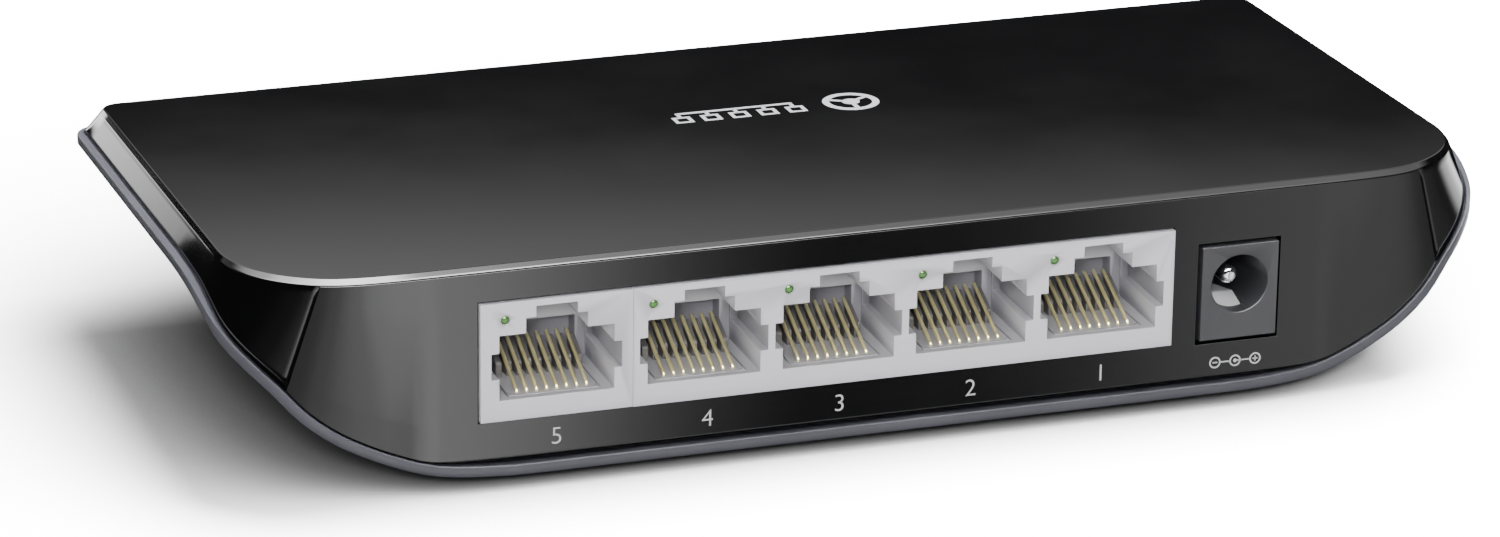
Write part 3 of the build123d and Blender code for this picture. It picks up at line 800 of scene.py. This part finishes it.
def tube(path, radius, sides=12):
    """Rows of a round tube along points in one YZ plane, with domed ends."""
    rows = []
    count = len(path)
    for k, p in enumerate(path):
        before, after = path[max(k - 1, 0)], path[min(k + 1, count - 1)]
        way = (after - before).normalized()
        across = Vector((1, 0, 0))
        up = way.cross(across).normalized()
        turns = [2 * math.pi * j / sides for j in range(sides)]
        rows.append([p + (across * math.cos(a) + up * math.sin(a)) * radius for a in turns])
    for end, way in ((0, path[0] - path[1]), (-1, path[-1] - path[-2])):
        tip = path[end] + way.normalized() * radius * 0.5
        ring = [tip + (q - path[end]) * 0.55 for q in rows[end]]
        cap = [tip + way.normalized() * radius * 0.25 for _ in rows[end]]
        if end == 0:
            rows = [cap, ring] + rows
        else:
            rows = rows + [ring, cap]
    return rows


def bend_path(x):
    """Front stub, tight round bend, then the long straight slope to the free end."""
    y0, z0 = WIRE_PIVOT
    slope = math.atan2(WIRE_END[1] - z0, WIRE_END[0] - y0)
    y0 -= WIRE_LEAD
    points = [Vector((x, y0, z0 - WIRE_STUB)), Vector((x, y0, z0 - WIRE_BEND))]
    centre = Vector((x, y0 + WIRE_BEND, z0 - WIRE_BEND))
    for turn in span(0.0, 1.0, 6)[1:]:
        angle = math.pi - (math.pi / 2 - slope) * turn
        points.append(centre + WIRE_BEND * Vector((0, math.cos(angle), math.sin(angle))))
    start = points[-1]
    end = Vector((x, WIRE_END[0], WIRE_END[1]))
    points += [start.lerp(end, t) for t in (0.3, 0.6, 0.9, 1.0)]
    return points


def contact_wires(port):
    """The eight sprung wires of one socket."""
    middle = port_middle(port)
    made = []
    for k in range(8):
        x = middle + (k - 3.5) * WIRE_PITCH
        made.append(strip(f"wire_{port}_{k}", tube(bend_path(x), WIRE_R)))
    obj = joined(f"port_{port}_wires", made)
    tidy(obj)
    sharpen(obj, 70.0)
    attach(obj, f"port_{port}_contacts")
    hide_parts(f"contact_springs_{port}")
    return obj


def prism(name, x0, x1, profile):
    """Solid between two YZ outlines."""
    rows = [[Vector((x, y, z)) for y, z in profile] for x in (x0, x1)]
    obj = strip(name, rows)
    close_ends(obj)
    for poly in obj.data.polygons:
        poly.use_smooth = False
    return obj


def oblong(y0, y1, z0, z1):
    """YZ outline of an oblong."""
    return [(y0, z0), (y0, z1), (y1, z1), (y1, z0)]


TOOTH = [
    (-26.0, PLATE_TOP), (-26.0, 10.5), (-25.8, 10.7),
    (-23.15, 11.9), (BAR_FRONT, 11.9), (BAR_FRONT, PLATE_TOP),
]


def port_comb(port):
    """Teeth that guide the wires' free ends, with a bar behind them."""
    middle = port_middle(port)
    made = []
    for k in range(9):
        x = middle + (k - 4) * WIRE_PITCH
        left = END_TOOTH if k == 0 else TOOTH_HALF
        right = END_TOOTH if k == 8 else TOOTH_HALF
        made.append(prism(f"tooth_{k}", x - left, x + right, TOOTH))
    side = oblong(BAR_FRONT, COMB_BACK, PLATE_TOP, BAR_TOP)
    made.append(prism("bar", middle - BAR_HALF, middle + BAR_HALF, side))
    obj = joined(f"port_{port}_comb", made)
    bevel(obj, 0.03, 1)
    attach(obj, ROOT)
    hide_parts(f"contact_insert_{port}")
    return obj


def port_plate(port):
    """Floor plate of the contact insert."""
    middle = port_middle(port)
    side = oblong(PLATE_FRONT, COMB_BACK, PLATE_LOW, PLATE_TOP)
    obj = prism(f"port_{port}_plate", middle - PLATE_HALF, middle + PLATE_HALF, side)
    bevel(obj, 0.06, 2)
    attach(obj, ROOT)
    return obj


def lens_place(port):
    """Middle of the lamp's face (x, y, z) and the lens's back end."""
    low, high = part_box(f"led_lens_{port}")
    return (low.x + high.x) / 2 / MM, low.y / MM, (low.z + high.z) / 2 / MM, high.y / MM


def lamp_lens(port):
    """Domed round lens."""
    x, y, z, back = lens_place(port)
    dome = [(0.0, 0.03), (0.2, 0.06), (0.34, 0.13), (0.41, 0.24), (0.42, 1.0)]
    profile = dome + [(0.42, back - y), (0.0, back - y)]
    obj = spin(f"port_{port}_lens", profile, (x, y, z), 24, "Y")
    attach(obj, ROOT)
    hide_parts(f"led_lens_{port}")
    return obj


def lamp_ring(port):
    """Thin bezel round the lens."""
    x, y, z, _ = lens_place(port)
    profile = [(0.43, 0.3), (0.43, 0.02), (0.46, -0.01), (0.52, -0.01), (0.55, 0.02), (0.55, 0.3)]
    obj = spin(f"port_{port}_lens_ring", profile, (x, y + 0.02, z), 24, "Y")
    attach(obj, ROOT)
    return obj


def floor_groove(port):
    """Painted shade: a thin dark ring laid on the socket's floor along the outline of the contact plate,
    standing in for the shade of its groove, rounded at its corners.
    """
    middle = port_middle(port)
    z = PLATE_TOP + 0.012
    x0, x1, y0, y1, r, w = middle - 4.62, middle + 4.62, -30.95, -23.9, 1.0, 0.07
    outer, inner = [], []
    turns = ((x1 - r, y1 - r, 0), (x0 + r, y1 - r, 90), (x0 + r, y0 + r, 180), (x1 - r, y0 + r, 270))
    for cx, cy, start in turns:
        for k in range(7):
            a = math.radians(start + 15 * k)
            outer.append(Vector((cx + r * math.cos(a), cy + r * math.sin(a), z)))
            inner.append(Vector((cx + (r - w) * math.cos(a), cy + (r - w) * math.sin(a), z)))
    obj = strip(f"port_{port}_groove", [outer, inner])
    tidy(obj)
    solidify(obj, 0.02)
    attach(obj, ROOT)
    return obj


for name in ("jack_housing_single", "jack_housing_quad"):
    dress(refined(name, name + "_moulding", width=0.09), "socket_grey")
dress(refined("dc_jack_housing", "inlet_moulding", width=0.12), "inlet_black")
dress(refined("dc_centre_pin", "inlet_pin", width=0.0), "pin_chrome")
leaf = refined("dc_leaf_spring", "inlet_leaf_blade", body="inlet_leaf", width=0.05)
dress(leaf, "pin_chrome", "leaf_chrome")
for port in range(1, 6):
    dress(port_comb(port), "socket_grey", "insert_grey")
    dress(port_plate(port), "socket_grey")
    dress(contact_wires(port), "contact_gold")
    dress(lamp_lens(port), "lens_green")
    dress(lamp_ring(port), "lens_green", "lens_ring")
    dress(floor_groove(port), "socket_grey", "groove_shade_painted")

# ---------------------------------------------------------------- prints
PANEL_FACE = REAR_Y
NUMERAL_THICK = 0.015
NUMERAL_TALL = 1.8


def flat_print(name, outline_sets, place, material, thick=0.03):
    """Thin raised print; outline_sets are closed outlines in (u, v), place maps (u, v, out) to a point."""
    bm = bmesh.new()
    for outline in outline_sets:
        outer, inner = outline
        top = [bm.verts.new(place(u, v, thick) * MM) for u, v in outer]
        low = [bm.verts.new(place(u, v, 0.0) * MM) for u, v in outer]
        count = len(outer)
        if inner:
            top_in = [bm.verts.new(place(u, v, thick) * MM) for u, v in inner]
            low_in = [bm.verts.new(place(u, v, 0.0) * MM) for u, v in inner]
            for k in range(count):
                j = (k + 1) % count
                bm.faces.new((top[k], top[j], top_in[j], top_in[k]))
                bm.faces.new((top_in[k], top_in[j], low_in[j], low_in[k]))
                bm.faces.new((low[j], low[k], low_in[k], low_in[j]))
        else:
            bm.faces.new(top)
            bm.faces.new(low[::-1])
        for k in range(count):
            j = (k + 1) % count
            bm.faces.new((top[j], top[k], low[k], low[j]))
    bmesh.ops.recalc_face_normals(bm, faces=bm.faces)
    mesh = bpy.data.meshes.new(name)
    bm.to_mesh(mesh)
    bm.free()
    obj = bpy.data.objects.new(name, mesh)
    bpy.context.scene.collection.objects.link(obj)
    obj.data.materials.append(MAT[material])
    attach(obj, ROOT)
    return obj


def round_outline(u, v, radius, steps=40):
    turns = [2 * math.pi * k / steps for k in range(steps)]
    return [(u + radius * math.cos(a), v + radius * math.sin(a)) for a in turns]


def bar(u0, v0, u1, v1, width):
    """Outline of a straight stroke with rounded ends."""
    way = math.atan2(v1 - v0, u1 - u0)
    points = []
    for centre, start in (((u1, v1), -90), ((u0, v0), 90)):
        for k in range(7):
            a = way + math.radians(start + 30 * k)
            points.append((centre[0] + width / 2 * math.cos(a), centre[1] + width / 2 * math.sin(a)))
    return points


def on_panel(x, z):
    """Places a print's (u, v, out) on the rear panel, about x and z."""
    return lambda u, v, out: Vector((x + u, PANEL_FACE - out, z + v))


def on_plate(x, y):
    """The mark is read from the front, so u runs towards -X and v towards -Y."""
    return lambda u, v, out: Vector((x - u, y - v, TOP_Z - drop(y - v) + out))


def numeral(port, x, z, height):
    """One raised digit under its socket."""
    curve = bpy.data.curves.new(f"numeral_{port}", "FONT")
    curve.body = str(port)
    curve.size = height / 0.7 * MM
    curve.extrude = NUMERAL_THICK * MM
    curve.offset = -0.03 * MM
    curve.align_x = "CENTER"
    curve.align_y = "CENTER"
    text = bpy.data.objects.new(f"numeral_text_{port}", curve)
    bpy.context.scene.collection.objects.link(text)
    bpy.context.view_layer.update()
    mesh = bpy.data.meshes.new_from_object(text.evaluated_get(bpy.context.evaluated_depsgraph_get()))
    bpy.data.objects.remove(text)
    stand = Matrix.Rotation(math.pi / 2, 4, "X")
    mesh.transform(Matrix.Translation(Vector((x, PANEL_FACE - NUMERAL_THICK, z)) * MM) @ stand)
    obj = bpy.data.objects.new(f"port_{port}_numeral", mesh)
    bpy.context.scene.collection.objects.link(obj)
    mesh.materials.clear()
    mesh.materials.append(MAT["print_white"])
    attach(obj, ROOT)
    return obj


NUMERAL_Z = 4.6
NUMERAL_X = {5: -34.27, 4: -18.74, 3: -4.96, 2: 8.91, 1: 22.89}
for port, x in NUMERAL_X.items():
    numeral(port, x, NUMERAL_Z, NUMERAL_TALL)

low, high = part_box("dc_jack_housing")
INLET_X = (low.x + high.x) / 2 / MM
# polarity symbol: three rings joined by strokes, minus at the left, plus at the right
RING_STEP = 2.2
RING_R = (0.62, 0.46)
STROKE = 0.13
symbol = [tuple(round_outline(shift, 0, r, 32) for r in RING_R) for shift in (-RING_STEP, 0.0, RING_STEP)]
strokes = [
    (-2.42, 0, -1.98, 0), (1.98, 0, 2.42, 0), (2.2, -0.22, 2.2, 0.22),
    (-1.5, 0, -0.72, 0), (0.2, 0, 1.5, 0),
]
symbol += [(bar(*ends, STROKE), None) for ends in strokes]
symbol.append((round_outline(0, 0, 0.2, 20), None))
flat_print("inlet_polarity_mark", symbol, on_panel(INLET_X, 4.35), "print_white")

# network mark: a disc with a hub and spokes, then five nodes on a line
DISC_U = -8.6
NODE_COUNT = 5
NODE_PITCH = 3.1
NODE_SIDE = 2.0
NODE_EDGE = 0.42
NODE_LOW = -0.3
mark = [
    (round_outline(DISC_U, 0, 3.0, 64), round_outline(DISC_U, 0, 2.25, 64)),
    (round_outline(DISC_U, 0, 0.95, 40), None),
]
for angle in (90, 210, 330):
    c, s = math.cos(math.radians(angle)), math.sin(math.radians(angle))
    mark.append((bar(DISC_U + 1.1 * c, 1.1 * s, DISC_U + 2.1 * c, 2.1 * s, 0.5), None))


def square(u, v, side):
    return [(u, v), (u + side, v), (u + side, v + side), (u, v + side)]


for k in range(NODE_COUNT):
    u = -3.3 + k * NODE_PITCH
    hole = square(u + NODE_EDGE, NODE_LOW + NODE_EDGE, NODE_SIDE - 2 * NODE_EDGE)
    mark.append((square(u, NODE_LOW, NODE_SIDE), hole))
    mark.append((bar(u + NODE_SIDE / 2, NODE_LOW, u + NODE_SIDE / 2, -1.2, NODE_EDGE), None))
mark.append((bar(-2.3, -1.4, 10.1, -1.4, 0.5), None))
flat_print("top_network_mark", mark, on_plate(1.5, 8.0), "print_silver", 0.02)

# ---------------------------------------------------------------- stage, lights, camera
FLOOR_HALF = 3000
FLOOR_BOUNCE = 0.7
FLOOR_SEEN = 3.8
# Painted shadow: an ambient-occlusion term, leaned and raised to a power, darkens the floor's colour near the
# object for camera rays.
PAINTED_SHADOW_REACH = 90 * MM
PAINTED_SHADOW_LEAN = (0.35, -0.72, 0.6)
PAINTED_SHADOW_POWER = 3.2
PAINTED_SHADOW_SAMPLES = 64
corners = [(-FLOOR_HALF, -FLOOR_HALF, 0), (FLOOR_HALF, -FLOOR_HALF, 0)]
corners += [(FLOOR_HALF, FLOOR_HALF, 0), (-FLOOR_HALF, FLOOR_HALF, 0)]
floor = new_object("studio_floor", corners, [(0, 1, 2, 3)], False)


def floor_finish():
    """Matt paper: white with a soft painted contact shadow to the camera, made by a leaned ambient-occlusion
    term in its colour and not by the lamps; a plain bounce to the object.
    """
    mat = bpy.data.materials.new("floor_pale")
    mat.use_nodes = True
    tree = mat.node_tree
    tree.nodes.clear()
    path = tree.nodes.new("ShaderNodeLightPath")
    painted_shadow = tree.nodes.new("ShaderNodeAmbientOcclusion")
    painted_shadow.samples = PAINTED_SHADOW_SAMPLES
    painted_shadow.inputs["Distance"].default_value = PAINTED_SHADOW_REACH
    lean = tree.nodes.new("ShaderNodeCombineXYZ")
    for k, part in enumerate(PAINTED_SHADOW_LEAN):
        lean.inputs[k].default_value = part
    tree.links.new(lean.outputs[0], painted_shadow.inputs["Normal"])
    shade = tree.nodes.new("ShaderNodeMath")
    shade.operation = "POWER"
    shade.inputs[1].default_value = PAINTED_SHADOW_POWER
    tree.links.new(painted_shadow.outputs["AO"], shade.inputs[0])
    seen = tree.nodes.new("ShaderNodeMath")
    seen.operation = "MULTIPLY"
    seen.inputs[1].default_value = FLOOR_SEEN
    tree.links.new(shade.outputs[0], seen.inputs[0])
    value = tree.nodes.new("ShaderNodeMix")
    value.inputs["A"].default_value = FLOOR_BOUNCE
    tree.links.new(path.outputs["Is Camera Ray"], value.inputs["Factor"])
    tree.links.new(seen.outputs[0], value.inputs["B"])
    paper = tree.nodes.new("ShaderNodeBsdfDiffuse")
    tree.links.new(value.outputs["Result"], paper.inputs["Color"])
    out = tree.nodes.new("ShaderNodeOutputMaterial")
    tree.links.new(paper.outputs["BSDF"], out.inputs["Surface"])
    return mat


floor.data.materials.append(floor_finish())
floor.visible_glossy = False


# What glossy surfaces see. Each band is an elevation window in degrees and its strengths by azimuth
# (0 is +Y, 90 is +X). The left wall reflects the first, the top plate the second, its bright edge the
# next two, and the rear panel the last two.
BANDS = [
    ((-12.0, -6.0, 5.9, 7.4), [
        (-60, 0.0), (-28, 0.01), (-22.7, 0.02), (-22.4, 0.12), (-22.1, 0.4), (-21.8, 1.0),
        (-21.4, 2.0), (-21.0, 3.3), (-20.4, 6.0), (-19, 8.0), (-14, 6.0), (-8, 0.0),
    ]),
    ((15.5, 17.7, 30.0, 45.0), [(-60, 0.4), (4, 0.6), (14, 0.82), (20, 0.72), (26, 0.8), (60, 0.5)]),
    ((24.0, 34.0, 66.0, 80.0), [
        (60, 0.5), (100, 2.0), (138, 3.0), (142, 3.2), (148.5, 4.6),
        (151.5, 9.0), (154, 26.0), (156, 42.0), (180, 50.0),
    ]),
    ((24.0, 34.0, 66.0, 80.0), [
        (-180, 50.0), (-150, 44.0), (-120, 30.0), (-95, 20.0), (-75, 9.0), (-50, 4.0), (-20, 1.0),
    ]),
    ((-38.0, -30.0, -12.0, -2.0), [
        (48, 0.0), (56, 5.0), (70, 3.0), (84, 0.1), (104, 0.3), (140, 1.2), (154.5, 1.5), (156.1, 1.3),
        (158.2, 0.06), (160.2, 0.03), (161.5, 0.4), (162.6, 2.6), (163.7, 4.0), (165, 4.1), (168, 3.9),
        (174, 3.4), (180, 2.4),
    ]),
    ((-38.0, -30.0, -12.0, -2.0), [(-180, 2.4), (-165, 1.3), (-150, 0.7), (-130, 0.1), (-100, 0.0)]),
]
# share of the full turn over which a band that ends lit is faded out, and where it is cut
BAND_FADE = 0.02
BAND_CUT = 0.021
GLOSSY_BASE = 0.01
SOFT_LIGHT = 0.7


def build_world():
    """Plain soft light for matt surfaces, BANDS for glossy ones."""
    world = bpy.data.worlds.new("studio")
    bpy.context.scene.world = world
    world.use_nodes = True
    tree = world.node_tree
    tree.nodes.clear()
    links = tree.links
    out = tree.nodes.new("ShaderNodeOutputWorld")
    parts = tree.nodes.new("ShaderNodeSeparateXYZ")
    links.new(tree.nodes.new("ShaderNodeTexCoord").outputs["Generated"], parts.inputs[0])

    def maths(operation, a, b=None):
        made = tree.nodes.new("ShaderNodeMath")
        made.operation = operation
        for k, value in enumerate((a, b)):
            if value is None:
                continue
            if isinstance(value, float):
                made.inputs[k].default_value = value
            else:
                links.new(value, made.inputs[k])
        return made.outputs[0]

    heading = maths("ARCTAN2", parts.outputs["X"], parts.outputs["Y"])
    azimuth = maths("MULTIPLY", heading, 180 / math.pi)
    elevation = maths("MULTIPLY", maths("ARCSINE", parts.outputs["Z"]), 180 / math.pi)
    turn = maths("ADD", maths("DIVIDE", azimuth, 360.0), 0.5)
    total = None
    for window, stops in BANDS:
        ramp = tree.nodes.new("ShaderNodeValToRGB")
        ramp.color_ramp.interpolation = "EASE"
        peak = max(value for _, value in stops)
        points = ramp.color_ramp.elements
        first, last_stop = stops[0], stops[-1]
        points[0].position, points[1].position = first[0] / 360 + 0.5, last_stop[0] / 360 + 0.5
        points[0].color = (*[first[1] / peak] * 3, 1)
        points[1].color = (*[last_stop[1] / peak] * 3, 1)
        for angle, value in stops[1:-1]:
            stop = points.new(angle / 360 + 0.5)
            stop.color = (*[value / peak] * 3, 1)
        if abs(first[0]) < 180 and first[1] > 0:
            stop = points.new(max(first[0] / 360 + 0.5 - BAND_FADE, 0.0))
            stop.color = (0, 0, 0, 1)
        if abs(last_stop[0]) < 180 and last_stop[1] > 0:
            stop = points.new(min(last_stop[0] / 360 + 0.5 + BAND_FADE, 1.0))
            stop.color = (0, 0, 0, 1)
        links.new(turn, ramp.inputs["Fac"])
        low0, low1, high0, high1 = window
        rise = mapped(tree, elevation, low0, low1, 0.0, 1.0, "SMOOTHSTEP")
        fade = mapped(tree, elevation, high0, high1, 1.0, 0.0, "SMOOTHSTEP")
        strength = maths("MULTIPLY", ramp.outputs["Color"], float(peak))
        share = maths("MULTIPLY", maths("MULTIPLY", rise, fade), strength)
        inside_low = maths("GREATER_THAN", turn, first[0] / 360 + 0.5 - BAND_CUT)
        inside_high = maths("LESS_THAN", turn, last_stop[0] / 360 + 0.5 + BAND_CUT)
        share = maths("MULTIPLY", share, maths("MULTIPLY", inside_low, inside_high))
        total = share if total is None else maths("ADD", total, share)
    glossy = tree.nodes.new("ShaderNodeBackground")
    glossy.inputs["Color"].default_value = (1, 1, 1, 1)
    links.new(maths("ADD", total, GLOSSY_BASE), glossy.inputs["Strength"])
    soft = tree.nodes.new("ShaderNodeBackground")
    soft.inputs["Color"].default_value = (1.0, 1.0, 1.0, 1)
    sky = mapped(tree, elevation, -5.0, 70.0, SOFT_LIGHT * 0.45, SOFT_LIGHT * 1.2)
    links.new(sky, soft.inputs["Strength"])
    path = tree.nodes.new("ShaderNodeLightPath")
    mix = tree.nodes.new("ShaderNodeMixShader")
    links.new(path.outputs["Is Glossy Ray"], mix.inputs["Fac"])
    links.new(soft.outputs["Background"], mix.inputs[1])
    links.new(glossy.outputs["Background"], mix.inputs[2])
    links.new(mix.outputs["Shader"], out.inputs["Surface"])


build_world()


def area_light(name, place, aim, size, power):
    """Round soft box at a place in metres, unseen by glossy surfaces."""
    data = bpy.data.lights.new(name, "AREA")
    data.shape = "DISK"
    data.size = size
    data.energy = power
    obj = bpy.data.objects.new(name, data)
    bpy.context.scene.collection.objects.link(obj)
    obj.location = place
    obj.rotation_mode = "QUATERNION"
    obj.rotation_quaternion = (Vector(aim) - Vector(place)).to_track_quat("-Z", "Y")
    obj.visible_glossy = False
    return obj


area_light("key", (0.2, 0.2, 0.62), (0, 0, 0.01), 0.5, 26.0)
area_light("front_fill", (-0.3, -0.8, 0.42), (0, -0.02, 0.01), 0.16, 6.5)

CAM_AZIMUTH = -19.156
CAM_ELEVATION = 20.462
CAM_ROLL = 0.785
AIM = Vector((-14.42, -31.21, 19.79)) * MM
DISTANCE = 588.7 * MM
LENS = 144.55
SENSOR = 36.0


def place_camera():
    """Camera at the photograph's viewing angle."""
    data = bpy.data.cameras.new("camera")
    data.lens = LENS
    data.sensor_width = SENSOR
    data.sensor_fit = "HORIZONTAL"
    data.clip_start = 0.01
    cam = bpy.data.objects.new("camera", data)
    bpy.context.scene.collection.objects.link(cam)
    a, e, r = (math.radians(v) for v in (CAM_AZIMUTH, CAM_ELEVATION, CAM_ROLL))
    back = Vector((math.sin(a) * math.cos(e), -math.cos(a) * math.cos(e), math.sin(e)))
    right = Vector((math.cos(a), math.sin(a), 0))
    up = back.cross(right)
    turned_right = right * math.cos(r) + up * math.sin(r)
    turned_up = up * math.cos(r) - right * math.sin(r)
    turned = Matrix((turned_right, turned_up, back)).transposed().to_4x4()
    cam.matrix_world = Matrix.Translation(AIM + back * DISTANCE) @ turned
    bpy.context.scene.camera = cam


place_camera()
